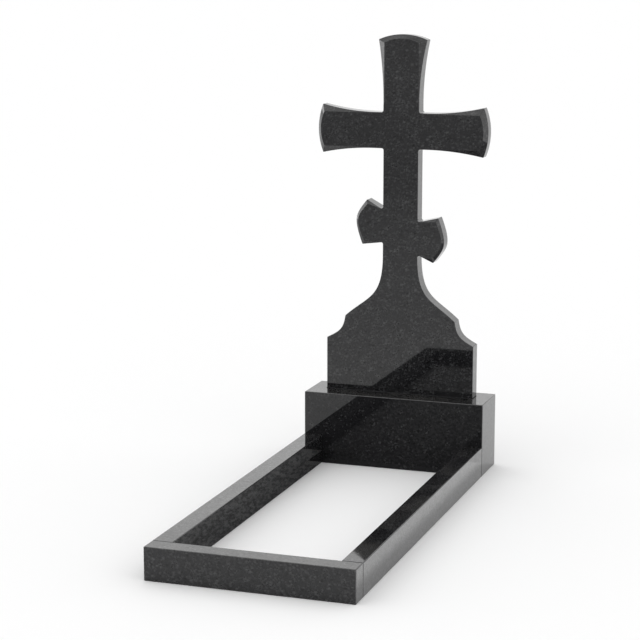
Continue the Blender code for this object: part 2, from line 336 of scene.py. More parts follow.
def polishedStone(name, offset, turn, flecks=1.0):
    look = polishedLook
    material, tree, shader, place = stoneStart(name, offset, turn)
    grain = stoneGrain(tree, place, look["ground"], look["fleck"], flecks)
    wear = wornEdges(tree, place, look["wear"])
    dust = useGroup(tree, settledDust, {"Vector": place, "Amount": look["dust"]})["Dust"]
    worn = blendColour(tree, wear, grain["Colour"], look["edgePale"])
    tree.links.new(blendColour(tree, dust, worn, look["dustColour"]), shader.inputs["Base Color"])

    drift = noise(tree, place, *look["drift"])["Fac"]
    rough = calc(tree, "MULTIPLY_ADD", drift, look["polishDrift"], look["polish"])
    rough = calc(tree, "MULTIPLY_ADD", grain["Flecks"], look["fleckRoughness"], rough)
    rough = calc(tree, "MULTIPLY_ADD", wear, look["wornEdge"], rough)
    rough = calc(tree, "MULTIPLY_ADD", dust, look["dustRoughness"], rough)
    tree.links.new(rough, shader.inputs["Roughness"])
    sheen = calc(tree, "MULTIPLY_ADD", grain["Grains"], look["grainSheen"], look["sheen"])
    sheen = calc(tree, "MULTIPLY_ADD", grain["Flecks"], look["fleckSheen"], sheen)
    sheen = calc(tree, "MULTIPLY", sheen, calc(tree, "SUBTRACT", 1.0, grain["Dark Spots"]))
    tree.links.new(sheen, shader.inputs["Coat Weight"])

    crystals = calc(tree, "MULTIPLY", grain["Grains"], look["crystalHeight"])
    relief = calc(tree, "MULTIPLY_ADD", grain["Flecks"], look["fleckHeight"], crystals)
    addRelief(tree, shader, relief, look["reliefStrength"], look["reliefDepth"])
    return material


# Left from the saw: matt, paler, with fine parallel marks. Backs, undersides and joint faces have it.
def sawnStone(name, offset, turn):
    look = sawnLook
    material, tree, shader, place = stoneStart(name, offset, turn)
    grain = stoneGrain(tree, place, look["ground"], look["fleck"])
    plain = objectPlace(tree)
    sway = calc(tree, "MULTIPLY", noise(tree, plain, *look["sway"])["Fac"], look["swayReach"])
    leaning = addNode(tree, "ShaderNodeMapping", {"Vector": plain, "Rotation": (0.0, look["lean"], 0.0)})
    across = addNode(tree, "ShaderNodeSeparateXYZ", {"Vector": leaning.outputs["Vector"]}).outputs
    climb = calc(tree, "MULTIPLY", across["Y"], look["climb"])
    height = calc(tree, "ADD", calc(tree, "ADD", across["Z"], climb), sway)
    strokes = calc(tree, "SINE", calc(tree, "MULTIPLY", height, 2 * math.pi / look["pitch"]))
    slow = calc(tree, "SINE", calc(tree, "MULTIPLY", height, 2 * math.pi / look["slowPitch"]))
    marks = calc(tree, "MULTIPLY_ADD", slow, look["slowHeight"], strokes)

    shade = calc(tree, "MULTIPLY_ADD", marks, look["markShade"], look["shade"])
    marked = blendColour(tree, 1.0, grain["Colour"], shade, "MULTIPLY")
    wear = wornEdges(tree, place, look["wear"])
    tree.links.new(blendColour(tree, wear, marked, look["fleck"]), shader.inputs["Base Color"])
    rough = calc(tree, "MULTIPLY_ADD", grain["Grains"], look["crystalRoughness"], look["roughness"])
    tree.links.new(rough, shader.inputs["Roughness"])
    strokeHeight = calc(tree, "MULTIPLY", marks, look["markHeight"])
    relief = calc(tree, "MULTIPLY_ADD", grain["Grains"], look["crystalHeight"], strokeHeight)
    addRelief(tree, shader, relief, look["reliefStrength"], look["reliefDepth"])
    return material


masticLook = {
    "dark": (0.006, 0.006, 0.007, 1),
    "pale": (0.02, 0.02, 0.021, 1),
    "mottle": (260.0, 4.0),
    "specular": 0.12,
    "roughness": 0.45,
    "mottleRoughness": 0.25,
    "dust": 0.01,
    "reliefStrength": 0.4,
    "reliefDepth": 0.0003,
}


def jointMasticFinish():
    look = masticLook
    material, tree, shader = newFinish("jointMastic")
    shader.inputs["Specular IOR Level"].default_value = look["specular"]
    place = objectPlace(tree)
    mottle = noise(tree, place, *look["mottle"])["Fac"]
    dust = useGroup(tree, settledDust, {"Vector": place, "Amount": look["dust"]})["Dust"]
    colour = blendColour(tree, mottle, look["dark"], look["pale"])
    tree.links.new(blendColour(tree, dust, colour, polishedLook["dustColour"]), shader.inputs["Base Color"])
    rough = calc(tree, "MULTIPLY_ADD", mottle, look["mottleRoughness"], look["roughness"])
    tree.links.new(rough, shader.inputs["Roughness"])
    addRelief(tree, shader, mottle, look["reliefStrength"], look["reliefDepth"])
    return material


# Both Geometry Nodes trees start here: one output, and an input for each size and finish
def newShapeTree(name, inputs):
    tree = bpy.data.node_groups.new(name, "GeometryNodeTree")
    tree.interface.new_socket("Geometry", in_out="OUTPUT", socket_type="NodeSocketGeometry")
    for label, kind in inputs:
        tree.interface.new_socket(label, in_out="INPUT", socket_type="NodeSocket" + kind)
    return tree, tree.nodes.new("NodeGroupInput").outputs, tree.nodes.new("NodeGroupOutput").inputs


# Sawn blocks of the surround. One tree makes any of them: a box whose edges are rounded by rule.
blockShape = {
    "arris": 0.0022,
    "arrisSteps": 4,
    "leastRounding": 0.001,  # faces with less are shaded flat
    "squareness": 0.9,  # how squarely a face looks to a side that it counts to
}


def blockTree():
    tree, given, result = newShapeTree("easedBlock", [
        ("Centre", "Vector"),
        ("Size", "Vector"),
        ("Arris", "Float"),
        ("Steps", "Int"),
        ("Sawn Low", "Vector"),
        ("Sawn High", "Vector"),
        ("Polished", "Material"),
        ("Sawn", "Material"),
    ])
    count = calc(tree, "MULTIPLY", calc(tree, "ADD", given["Steps"], 1.0), 2.0)
    cube = addNode(tree, "GeometryNodeMeshCube", {
        "Size": (2, 2, 2),
        "Vertices X": count,
        "Vertices Y": count,
        "Vertices Z": count,
    })

    # The middle cell of each side becomes the flat, and the cells outside it share the rounding
    place = tree.nodes.new("GeometryNodeInputPosition").outputs[0]
    side = vectorCalc(tree, "SIGN", place)
    flat = onAllAxes(tree, calc(tree, "DIVIDE", 1.0, calc(tree, "SUBTRACT", count, 1.0)))
    past = vectorCalc(tree, "SUBTRACT", vectorCalc(tree, "ABSOLUTE", place), flat)
    share = vectorCalc(tree, "DIVIDE", past, vectorCalc(tree, "SUBTRACT", (1, 1, 1), flat))
    share = vectorCalc(tree, "MAXIMUM", share, (0, 0, 0))
    even = vectorCalc(tree, "TANGENT", scaled(tree, share, math.pi / 4))
    rounding = scaled(tree, vectorCalc(tree, "NORMALIZE", even), given["Arris"])
    core = vectorCalc(tree, "SUBTRACT", scaled(tree, given["Size"], 0.5), onAllAxes(tree, given["Arris"]))
    reach = vectorCalc(tree, "ADD", core, rounding)
    target = vectorCalc(tree, "MULTIPLY_ADD", side, reach, given["Centre"])

    # How far a point lies round an edge, kept for the finish
    onEdge = calc(tree, "SUBTRACT", vectorCalc(tree, "DOT_PRODUCT", even, (1, 1, 1)), 1.0)
    onEdge = calc(tree, "MINIMUM", calc(tree, "MAXIMUM", onEdge, 0.0), 1.0)
    marked = addNode(tree, "GeometryNodeStoreNamedAttribute", {
        "Geometry": cube.outputs["Mesh"],
        "Name": "arris",
        "Value": onEdge,
    }, data_type="FLOAT", domain="POINT")
    moved = addNode(tree, "GeometryNodeSetPosition", {"Geometry": marked.outputs[0], "Position": target})

    kept = addNode(tree, "GeometryNodeInputNamedAttribute", {"Name": "arris"}, data_type="FLOAT")
    rounded = calc(tree, "GREATER_THAN", kept.outputs[0], blockShape["leastRounding"])
    smooth = addNode(tree, "GeometryNodeSetShadeSmooth", {
        "Geometry": moved.outputs[0],
        "Shade Smooth": rounded,
    }, domain="FACE")
    real = addNode(tree, "GeometryNodeRealizeInstances", {"Geometry": smooth.outputs[0]})
    polished = addNode(tree, "GeometryNodeSetMaterial", {
        "Geometry": real.outputs[0],
        "Material": given["Polished"],
    })

    # Sides that the saw left, chosen by the way they face
    facing = tree.nodes.new("GeometryNodeInputNormal").outputs[0]
    facingLow = vectorCalc(tree, "MAXIMUM", scaled(tree, facing, -1.0), (0, 0, 0))
    facingHigh = vectorCalc(tree, "MAXIMUM", facing, (0, 0, 0))
    low = vectorCalc(tree, "DOT_PRODUCT", facingLow, given["Sawn Low"])
    high = vectorCalc(tree, "DOT_PRODUCT", facingHigh, given["Sawn High"])
    chosen = calc(tree, "GREATER_THAN", calc(tree, "MAXIMUM", low, high), blockShape["squareness"])
    sawn = addNode(tree, "GeometryNodeSetMaterial", {
        "Geometry": polished.outputs[0],
        "Selection": chosen,
        "Material": given["Sawn"],
    })
    tree.links.new(sawn.outputs[0], result["Geometry"])
    return tree


# Runs a tree on an object and gives back its result as a plain mesh object
def bakeTree(name, tree, values, source=None):
    carrier = source or newObject(name + "Carrier", bpy.data.meshes.new(name + "Carrier"))
    modifier = carrier.modifiers.new("tree", "NODES")
    modifier.node_group = tree
    for item in tree.interface.items_tree:
        if item.item_type == "SOCKET" and item.in_out == "INPUT" and item.name in values:
            modifier[item.identifier] = values[item.name]
    carrier.update_tag()
    graph = bpy.context.evaluated_depsgraph_get()
    mesh = bpy.data.meshes.new_from_object(carrier.evaluated_get(graph), depsgraph=graph)
    mesh.name = name
    carrier.modifiers.remove(modifier)
    bpy.data.objects.remove(carrier)
    return newObject(name, mesh)


easedBlock = blockTree()
blocks = [
    # node, pattern offset, pattern turn, share of flecks, sawn low sides, sawn high sides
    ("front_curb", (0.31, 0.12, 0.77), (0.0, 0.0, 0.3), 1.0, (0, 0, 1), (0, 0, 0)),
    ("left_curb", (1.73, 0.55, 0.21), (0.5, 0.0, 0.0), 1.0, (0, 1, 1), (0, 1, 0)),
    ("right_curb", (2.41, 1.95, 0.63), (0.0, 0.7, 0.0), 1.0, (0, 1, 1), (0, 1, 0)),
    ("pedestal", (3.17, 0.84, 1.35), (0.2, 0.0, 0.9), 0.28, (0, 0, 1), (0, 1, 0)),
]
for node, offset, turn, flecks, sawnLow, sawnHigh in blocks:
    low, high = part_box(node)
    stone = bakeTree(node + "_stone", easedBlock, {
        "Centre": tuple((low + high) / 2),
        "Size": tuple(high - low),
        "Arris": blockShape["arris"],
        "Steps": blockShape["arrisSteps"],
        "Sawn Low": tuple(float(x) for x in sawnLow),
        "Sawn High": tuple(float(x) for x in sawnHigh),
        "Polished": polishedStone(node + "Polished", offset, turn, flecks),
        "Sawn": sawnStone(node + "Sawn", offset, turn),
    })
    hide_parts(node)
    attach(stone, "root")
    print("made", stone.name, len(stone.data.polygons), "faces")

# The slab. Heights are from its foot and widths are half widths from its centre line.
slabShape = {
    "bodyHalf": 0.206,
    "shoulderLow": 0.1425,
    "shoulderHalf": 0.154,
    "shoulderHigh": 0.206,
    "shoulderStart": (26.7, 0.040),  # angle in degrees, pull in metres
    "shoulderEnd": (81.9, 0.038),
    "shoulderSteps": 40,
    "sweepTop": 0.380,
    "sweepStart": (42.0, 0.088),
    "sweepEndPull": 0.122,
    "sweepSteps": 80,
    "sweepGap": 0.004,  # the sweep stops this far below the bar's fillet
    "shaftHalf": 0.0483,
    "crossHeight": 0.713,
    "armHalf": 0.048,
    "armReach": 0.2220,
    "armTipHalf": 0.0652,
    "armBow": 0.0128,
    "topHalf": 0.0494,
    "topReach": 0.239,
    "topTipHalf": 0.0668,
    "topBow": 0.014,
    "flareStart": 0.074,
    "crossFillet": 0.0055,
    "barHeight": 0.4417,
    "barRootHalf": 0.0440,
    "barRootDrop": 0.0148,
    "barEndHeight": 0.44385,
    "barLowReach": 0.0970,
    "barHighReach": 0.1012,
    "barEndDrop": 0.02105,
    "barTipHalf": 0.0611,
    "barEndTilt": 6.1,
    "barBow": 0.0238,
    "barBendShift": 0.13,  # share of the way from the middle to the outer corner
    "barBendSoftness": 0.55,
    "barFillet": 0.0050,
    "barEdgeGuard": 0.02,  # share of the bar's edge at which its extra points stand
    "facetDepth": 0.014,
    "facetMiddle": 0.0102,
    "facetCorner": 0.0078,
    "facetRoot": 0.0018,
    "barFacetDepth": 0.006,
    "barFacetMiddle": 0.0090,
    "barFacetCorner": 0.0081,
    "arris": 0.0005,  # width of the eased front edge
    "soften": 0.0002,  # rounding on each side of a chamfer or facet
    "backArris": 0.0006,
    "cornerRound": 0.0018,  # outer corners of the outline
    "guard": 0.0006,  # extra points this far from a corner keep the shading flat beyond them
    "bendShares": (0.0, 0.25, 0.5, 0.75, 1.0),  # points round each softened bend
    "leastStep": 1e-5,  # stations closer together than this are one
    "cutFrom": ((0.13, 0.41, 2.29), (0.0, 0.35, 0.0)),  # pattern offset and turn
}

# A station is (x, z) of the outline, (x, z) of the front face's edge, and the depth at which the
# side wall starts. All five are kept as one tuple, so that a blend treats them alike.


def between(first, second, share):
    return tuple(a + (b - a) * share for a, b in zip(first, second))


def curveThrough(start, startPull, endPull, end, steps):
    points = []
    for step in range(steps + 1):
        t = step / steps
        a, b, c = between(start, startPull, t), between(startPull, endPull, t), between(endPull, end, t)
        points.append(between(between(a, b, t), between(b, c, t), t))
    return points


def bowedArc(start, end, bow, steps):  # arc that bows to the right of the way from start to end
    chord = math.dist(start, end)
    radius = (chord * chord / 4 + bow * bow) / (2 * bow)
    along = Vector((end[0] - start[0], end[1] - start[1])) / chord
    right = Vector((along.y, -along.x))
    centre = (Vector(start) + Vector(end)) / 2 - right * (radius - bow)
    halfAngle = math.asin(chord / 2 / radius)
    points = []
    for step in range(steps + 1):
        angle = halfAngle * (2 * step / steps - 1)
        points.append(tuple(centre + radius * (right * math.cos(angle) + along * math.sin(angle))))
    return points


# Rounded bend that bows to the right of the way, with its peak moved along the way by shift
def bentRun(start, end, bow, shift, steps=48):
    chord = math.dist(start, end)
    along = Vector((end[0] - start[0], end[1] - start[1])) / chord
    right = Vector((along.y, -along.x))
    soft = slabShape["barBendSoftness"]
    peak = math.hypot(1.0, soft)
    points = []
    for step in range(steps + 1):
        way = 2 * step / steps - 1
        fromPeak = (way - shift) / (1 - shift if way > shift else 1 + shift)
        out = bow * (peak - math.hypot(fromPeak, soft)) / (peak - soft)
        points.append(tuple(Vector(start) + along * (chord * step / steps) + right * out))
    return points


def guardedRun(start, end, share):  # a straight run with an extra point near each end
    return [start, between(start, end, share), between(start, end, 1 - share), end]


def straightRun(start, end):
    return guardedRun(start, end, slabShape["guard"] / math.dist(start, end))


def insideCorner(before, corner, after, radius, steps=10):
    toBefore = Vector(before) - Vector(corner)
    toAfter = Vector(after) - Vector(corner)
    half = toBefore.angle(toAfter) / 2
    setback = radius / math.tan(half)
    start = between(corner, before, setback / toBefore.length)
    end = between(corner, after, setback / toAfter.length)
    bow = radius * (1 - math.sin(half))
    if toBefore.x * toAfter.y - toBefore.y * toAfter.x > 0:
        return list(reversed(bowedArc(end, start, bow, steps)))
    return bowedArc(start, end, bow, steps)


# Edge of an arm that widens along an arc, with the facet that grows beside it
def flaredEdge(place, half, reach, tipHalf, steps=40):
    s = slabShape
    length = reach - s["flareStart"]
    gain = tipHalf - half
    slope = s["facetDepth"] / (gain + s["facetRoot"])
    radius = (length * length + gain * gain) / (2 * gain)
    run = []
    for step in range(steps + 1):
        share = step / steps
        widened = radius - math.sqrt(radius * radius - (share * length) ** 2)
        outer = place(s["flareStart"] + share * length, half + widened)
        inner = place(s["flareStart"] + share * (length - s["facetCorner"]), half - s["facetRoot"])
        run.append((*outer, *inner, slope * (widened + s["facetRoot"])))
    return run


def bowedEnd(corners, innerCorners, bow, innerBow, depth, steps=48):
    outer = bowedArc(*corners, bow, steps)
    inner = bowedArc(*innerCorners, innerBow, steps)
    return [(*a, *b, depth) for a, b in zip(outer, inner)]


# Both flared edges of an arm and its bowed end. low and high say where a point lies on either side.
def flaredArm(name, low, high):
    s = slabShape
    half, reach, tipHalf, bow = (s[name + key] for key in ("Half", "Reach", "TipHalf", "Bow"))
    innerReach = reach - s["facetCorner"]
    innerHalf = half - s["facetRoot"]
    end = bowedEnd(
        (low(reach, tipHalf), high(reach, tipHalf)),
        (low(innerReach, innerHalf), high(innerReach, innerHalf)),
        bow,
        bow - s["facetMiddle"] + s["facetCorner"],
        s["facetDepth"],
    )
    return flaredEdge(low, half, reach, tipHalf), end, flaredEdge(high, half, reach, tipHalf)[::-1]


def crossArm():
    height = slabShape["crossHeight"]

    def below(out, side):
        return out, height - side

    def above(out, side):
        return out, height + side

    return flaredArm("arm", below, above)


def topArm():  # its right edge and the right half of its end
    height = slabShape["crossHeight"]

    def rightSide(out, side):
        return side, height + out

    def leftSide(out, side):
        return -side, height + out

    edge, end, _ = flaredArm("top", rightSide, leftSide)
    return edge, end[: len(end) // 2 + 1]


def inset(start, end, distance, back):  # a point inwards from the second of two outline points
    along = (Vector(end) - Vector(start)).normalized()
    return (end[0] - along.y * distance - along.x * back, end[1] + along.x * distance - along.y * back)


# The slanted bar on one side of the shaft: side is 1 on its low end and -1 on its high end
def slantedBar(side):
    s = slabShape
    root = s["barHeight"] - side * s["barRootDrop"]
    end = s["barEndHeight"] - side * s["barEndDrop"]
    reach = s["barLowReach"] if side > 0 else s["barHighReach"]
    tilt = math.radians(s["barEndTilt"])
    lean = side * math.sin(tilt) * s["barTipHalf"]
    rise = math.cos(tilt) * s["barTipHalf"]
    rootLow = (s["shaftHalf"], root - s["barRootHalf"])
    rootHigh = (s["shaftHalf"], root + s["barRootHalf"])
    tipLow = (reach - lean, end - rise)
    tipHigh = (reach + lean, end + rise)
    corner = s["barFacetCorner"]
    innerLow = inset(rootLow, tipLow, corner, corner)
    flipped = inset((rootHigh[0], -rootHigh[1]), (tipHigh[0], -tipHigh[1]), corner, corner)
    innerHigh = (flipped[0], -flipped[1])
    shift = -side * s["barBendShift"]
    outer = bentRun(tipLow, tipHigh, s["barBow"], shift)
    inner = bentRun(innerLow, innerHigh, s["barBow"] - s["barFacetMiddle"] + corner, shift)
    rounded = [(*a, *b, s["barFacetDepth"]) for a, b in zip(outer, inner)]
    shaftBelow = (s["shaftHalf"], rootLow[1] - s["barTipHalf"])
    shaftAbove = (s["shaftHalf"], rootHigh[1] + s["barTipHalf"])
    lowFillet = insideCorner(shaftBelow, rootLow, tipLow, s["barFillet"])
    highFillet = insideCorner(tipHigh, rootHigh, shaftAbove, s["barFillet"])
    return lowFillet, rounded, highFillet


# Point set in from the outline, square to it, for each point of a run
def faceEdge(points, distance):
    done = []
    last = len(points) - 1
    for index, point in enumerate(points):
        before = points[max(index - 1, 0)]
        after = points[min(index + 1, last)]
        along = (Vector(after) - Vector(before)).normalized()
        done.append((point[0] - along.y * distance, point[1] + along.x * distance))
    return done


def plainRun(points):
    arris = slabShape["arris"]
    return [(*outer, *inner, arris) for outer, inner in zip(points, faceEdge(points, arris))]


# Cuts a run short by a distance at one end
def cutStart(run, distance):
    gone = 0.0
    for index in range(len(run) - 1):
        step = math.dist(run[index][:2], run[index + 1][:2])
        if gone + step > distance:
            return [between(run[index], run[index + 1], (distance - gone) / step)] + run[index + 1:]
        gone += step
    return run[-1:]


# Joins two runs over the corner between them, rounded through it, with a guard point on each side
def overCorner(first, second, steps=5):
    reach = slabShape["cornerRound"]
    guard = slabShape["guard"]
    outer = between(first[-1], second[0], 0.5)
    before = cutStart(first[::-1], reach)[::-1]
    after = cutStart(second, reach)
    beforeGuard = cutStart(first[::-1], reach + guard)[::-1]
    afterGuard = cutStart(second, reach + guard)
    bend = []
    for step in range(1, steps):
        t = step / steps
        bend.append(between(between(before[-1], outer, t), between(outer, after[0], t), t))
    return beforeGuard + [before[-1]] + bend + [after[0]] + afterGuard


# Half of the outline as stations, from the middle of the foot round to the middle of the top
def slabSide(side):
    s = slabShape
    half = s["shaftHalf"]
    foot = (s["bodyHalf"], 0.0)
    low = (s["bodyHalf"], s["shoulderLow"])
    high = (s["shoulderHalf"], s["shoulderHigh"])

    def pulled(point, angle, pull, outward, upward):
        return (
            point[0] + outward * pull * math.cos(math.radians(angle)),
            point[1] + upward * pull * math.sin(math.radians(angle)),
        )

    shoulder = curveThrough(
        low,
        pulled(low, *s["shoulderStart"], -1, 1),
        pulled(high, *s["shoulderEnd"], 1, -1),
        high,
        s["shoulderSteps"],
    )
    sweepEnd = (half, s["sweepTop"])
    sweep = curveThrough(
        high,
        pulled(high, *s["sweepStart"], -1, 1),
        (half, s["sweepTop"] - s["sweepEndPull"]),
        sweepEnd,
        s["sweepSteps"],
    )
    lowFillet, barEnd, highFillet = slantedBar(side)
    sweep = [point for point in sweep if point[1] < lowFillet[0][1] - s["sweepGap"]]
    lowerArm, armEnd, upperArm = crossArm()
    topEdge, topBow = topArm()
    armLow = s["crossHeight"] - s["armHalf"]
    armHigh = s["crossHeight"] + s["armHalf"]
    topEnd = s["crossHeight"] + s["topReach"]
    underArm = insideCorner(sweepEnd, (half, armLow), (s["flareStart"], armLow), s["crossFillet"])
    overArm = insideCorner(
        (s["flareStart"], armHigh), (s["topHalf"], armHigh), (s["topHalf"], topEnd), s["crossFillet"]
    )

    base = plainRun(straightRun((0.0, 0.0), foot))
    wall = plainRun(straightRun(foot, low))
    hollow = plainRun(shoulder)
    neck = plainRun(sweep + [(half, lowFillet[0][1] - s["guard"])] + lowFillet)
    shaft = plainRun(highFillet + straightRun(highFillet[-1], underArm[0])[1:-1] + underArm)

    stations = overCorner(base, wall)
    stations = overCorner(stations, hollow)
    stations = overCorner(stations, neck)
    lowEdge = guardedRun(stations[-1], barEnd[0], s["barEdgeGuard"])
    stations = overCorner(stations[:-1] + lowEdge, barEnd)
    highEdge = guardedRun(barEnd[-1], shaft[0], s["barEdgeGuard"])
    stations = overCorner(stations, highEdge[:-1] + shaft)
    stations = overCorner(stations + lowerArm, armEnd)
    stations = overCorner(stations, upperArm)
    return overCorner(stations + plainRun(overArm) + topEdge, topBow)


# Across the edge at one station: front face, softened facet or chamfer, side wall, softened back edge
def edgeSection(station, inward):
    s = slabShape
    outer = Vector((station[0], station[4], station[1]))
    inner = Vector((station[2], 0.0, station[3]))
    facet = outer - inner
    flat = Vector((facet.x, 0.0, facet.z)).normalized()
    soft = s["soften"]
    along = facet.normalized()
    points = []

    def soften(first, corner, last):
        for share in s["bendShares"]:
            points.append(first.lerp(corner, share).lerp(corner.lerp(last, share), share))

    soften(inner - flat * soft, inner, inner + along * soft)
    soften(outer - along * soft, outer, outer + Vector((0.0, soft, 0.0)))
    backCorner = Vector((outer.x, s["thickness"], outer.z))
    wall = backCorner - Vector((0.0, s["backArris"], 0.0))
    soften(wall, backCorner, backCorner + inward * s["backArris"])
    return points


def buildSlab():
    low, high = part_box("stele")
    slabShape["thickness"] = high.y - low.y
    right = slabSide(1)
    left = [(-x, z, -fx, fz, depth) for x, z, fx, fz, depth in slabSide(-1)]
    stations = right[:-1] + left[::-1][:-1]
    clean = []
    for station in stations:
        if not clean or math.dist(station[:2], clean[-1][:2]) > slabShape["leastStep"]:
            clean.append(station)
    count = len(clean)
    bend = len(slabShape["bendShares"])
    work = bmesh.new()
    arris = work.verts.layers.float.new("arris")
    rings = []
    for index, station in enumerate(clean):
        before = clean[index - 1]
        after = clean[(index + 1) % count]
        along = Vector((after[0] - before[0], 0.0, after[1] - before[1])).normalized()
        inward = Vector((-along.z, 0.0, along.x))
        ring = [work.verts.new(point) for point in edgeSection(station, inward)]
        facetWidth = math.dist(station[:2], station[2:4])
        chamfer = max(0.0, min(1.0, 1.5 - facetWidth / (2 * slabShape["arris"])))  # 0 on a wide facet
        for number, vertex in enumerate(ring):
            if 0 < number % bend < bend - 1:
                vertex[arris] = 1.0
            elif number in (bend - 1, bend):
                vertex[arris] = chamfer
        rings.append(ring)
    for index in range(count):
        near, far = rings[index], rings[(index + 1) % count]
        for step in range(len(near) - 1):
            quad = work.faces.new((near[step], far[step], far[step + 1], near[step + 1]))
            quad.smooth = True
    front = work.faces.new([ring[0] for ring in reversed(rings)])
    back = work.faces.new([ring[-1] for ring in rings])
    front.smooth = back.smooth = False
    bmesh.ops.recalc_face_normals(work, faces=work.faces)
    for ring, following in zip(rings, rings[1:] + rings[:1]):  # flats and facets end sharply
        for number in range(len(ring)):
            if number % bend in (0, bend - 1):
                work.edges.get((ring[number], following[number])).smooth = False
    back.material_index = 1
    bmesh.ops.triangulate(work, faces=[front, back], ngon_method="EAR_CLIP")
    bmesh.ops.translate(work, verts=work.verts, vec=(0.0, low.y, low.z))
    mesh = bpy.data.meshes.new("slab_stone")
    work.to_mesh(mesh)
    work.free()
    mesh.materials.append(polishedStone("slabPolished", *slabShape["cutFrom"]))
    mesh.materials.append(sawnStone("slabSawn", *slabShape["cutFrom"]))
    return newObject("slab_stone", mesh)


slab = buildSlab()
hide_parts("stele")
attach(slab, "root")
print("made", slab.name, len(slab.data.polygons), "faces")

# Dark mastic in the joints: a thin bead that lies a little below the stone, along each joint's path
masticShape = {
    "radius": 0.0010,
    "recess": 0.0013,
    "footRadius": 0.0015,
    "wander": 0.0002,
    "sides": 8,
    "pointGap": 0.006,
    "wanderNoise": (70.0, 1.0),
}


def masticTree():
    tree, given, result = newShapeTree("masticBead", [
        ("Paths", "Geometry"),
        ("Radius", "Float"),
        ("Wander", "Float"),
        ("Point Gap", "Float"),
        ("Sides", "Int"),
        ("Mastic", "Material"),
    ])
    curve = addNode(tree, "GeometryNodeMeshToCurve", {0: given["Paths"]})
    spaced = {"Curve": curve.outputs[0], "Length": given["Point Gap"]}
    finer = addNode(tree, "GeometryNodeResampleCurve", spaced, mode="LENGTH")
    scale, detail = masticShape["wanderNoise"]
    lumps = addNode(tree, "ShaderNodeTexNoise", {"Scale": scale, "Detail": detail})
    swing = vectorCalc(tree, "SUBTRACT", lumps.outputs["Color"], (0.5, 0.5, 0.5))
    laid = addNode(tree, "GeometryNodeSetPosition", {
        "Geometry": finer.outputs[0],
        "Offset": scaled(tree, swing, given["Wander"]),
    })
    ring = addNode(tree, "GeometryNodeCurvePrimitiveCircle", {
        "Resolution": given["Sides"],
        "Radius": given["Radius"],
    })
    bead = addNode(tree, "GeometryNodeCurveToMesh", {
        "Curve": laid.outputs[0],
        "Profile Curve": ring.outputs["Curve"],
        "Fill Caps": True,
    })
    real = addNode(tree, "GeometryNodeRealizeInstances", {"Geometry": bead.outputs[0]})
    done = addNode(tree, "GeometryNodeSetMaterial", {
        "Geometry": real.outputs[0],
        "Material": given["Mastic"],
    })
    tree.links.new(done.outputs[0], result["Geometry"])
    return tree


def pathObject(name, paths):  # loose edges, one chain for each path; a closed one ends where it starts
    work = bmesh.new()
    for points in paths:
        chain = [work.verts.new(point) for point in points]
        for first, second in zip(chain, chain[1:]):
            work.edges.new((first, second))
    mesh = bpy.data.meshes.new(name)
    work.to_mesh(mesh)
    work.free()
    return newObject(name, mesh)


def jointPaths():  # up the outer side, over the top and down the inner side of each curb joint
    recess = masticShape["recess"]
    ground = 2 * masticShape["radius"]
    paths = []
    for node, inner in (("left_curb", 1), ("right_curb", 0)):
        low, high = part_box(node)
        top = high.z - recess
        sides = (low.x + recess, high.x - recess)
        for y in (low.y, high.y):
            outerSide, innerSide = sides[1 - inner], sides[inner]
            paths.append([
                (outerSide, y, ground),
                (outerSide, y, top),
                (innerSide, y, top),
                (innerSide, y, ground),
            ])
    return paths


def footPath():  # round the slab's foot, on top of the block
    low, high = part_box("stele")
    half = slabShape["bodyHalf"]
    corners = [(-half, low.y), (half, low.y), (half, high.y), (-half, high.y), (-half, low.y)]
    return [[(x, y, low.z) for x, y in corners]]


masticBead = masticTree()
masticFinish = jointMasticFinish()
for name, paths, radius in (
    ("joint_mastic", jointPaths(), masticShape["radius"]),
    ("foot_mastic", footPath(), masticShape["footRadius"]),
):
    mastic = bakeTree(name, masticBead, {
        "Radius": radius,
        "Wander": masticShape["wander"],
        "Point Gap": masticShape["pointGap"],
        "Sides": masticShape["sides"],
        "Mastic": masticFinish,
    }, pathObject(name + "Paths", paths))
    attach(mastic, "root")
    print("made", mastic.name, len(mastic.data.polygons), "faces")

# Camera, solved on the straight edges in the photograph
cameraSetup = {
    "place": (1.4996, -4.4590, 1.4216),
    "pitchDown": 11.103,
    "yaw": 19.085,
    "lens": 110.6,
    "sensor": 36.0,
    "farthest": 400.0,
}
cameraData = bpy.data.cameras.new("camera")
cameraData.lens = cameraSetup["lens"]
cameraData.sensor_width = cameraSetup["sensor"]
cameraData.clip_end = cameraSetup["farthest"]
camera = newObject("camera", cameraData)
camera.location = cameraSetup["place"]
camera.rotation_euler = (math.radians(90 - cameraSetup["pitchDown"]), 0.0, math.radians(cameraSetup["yaw"]))
bpy.context.scene.camera = camera
print("camera placed")

# Studio: plain pale floor and white surroundings, with cards and soft lights that only the polish sees
studio = {
    "floorHalf": 90.0,
    "floorColour": (0.93, 0.93, 0.93, 1),
    "roughness": 0.9,
    "specular": 0.1,
    "surroundings": 1.08,
}

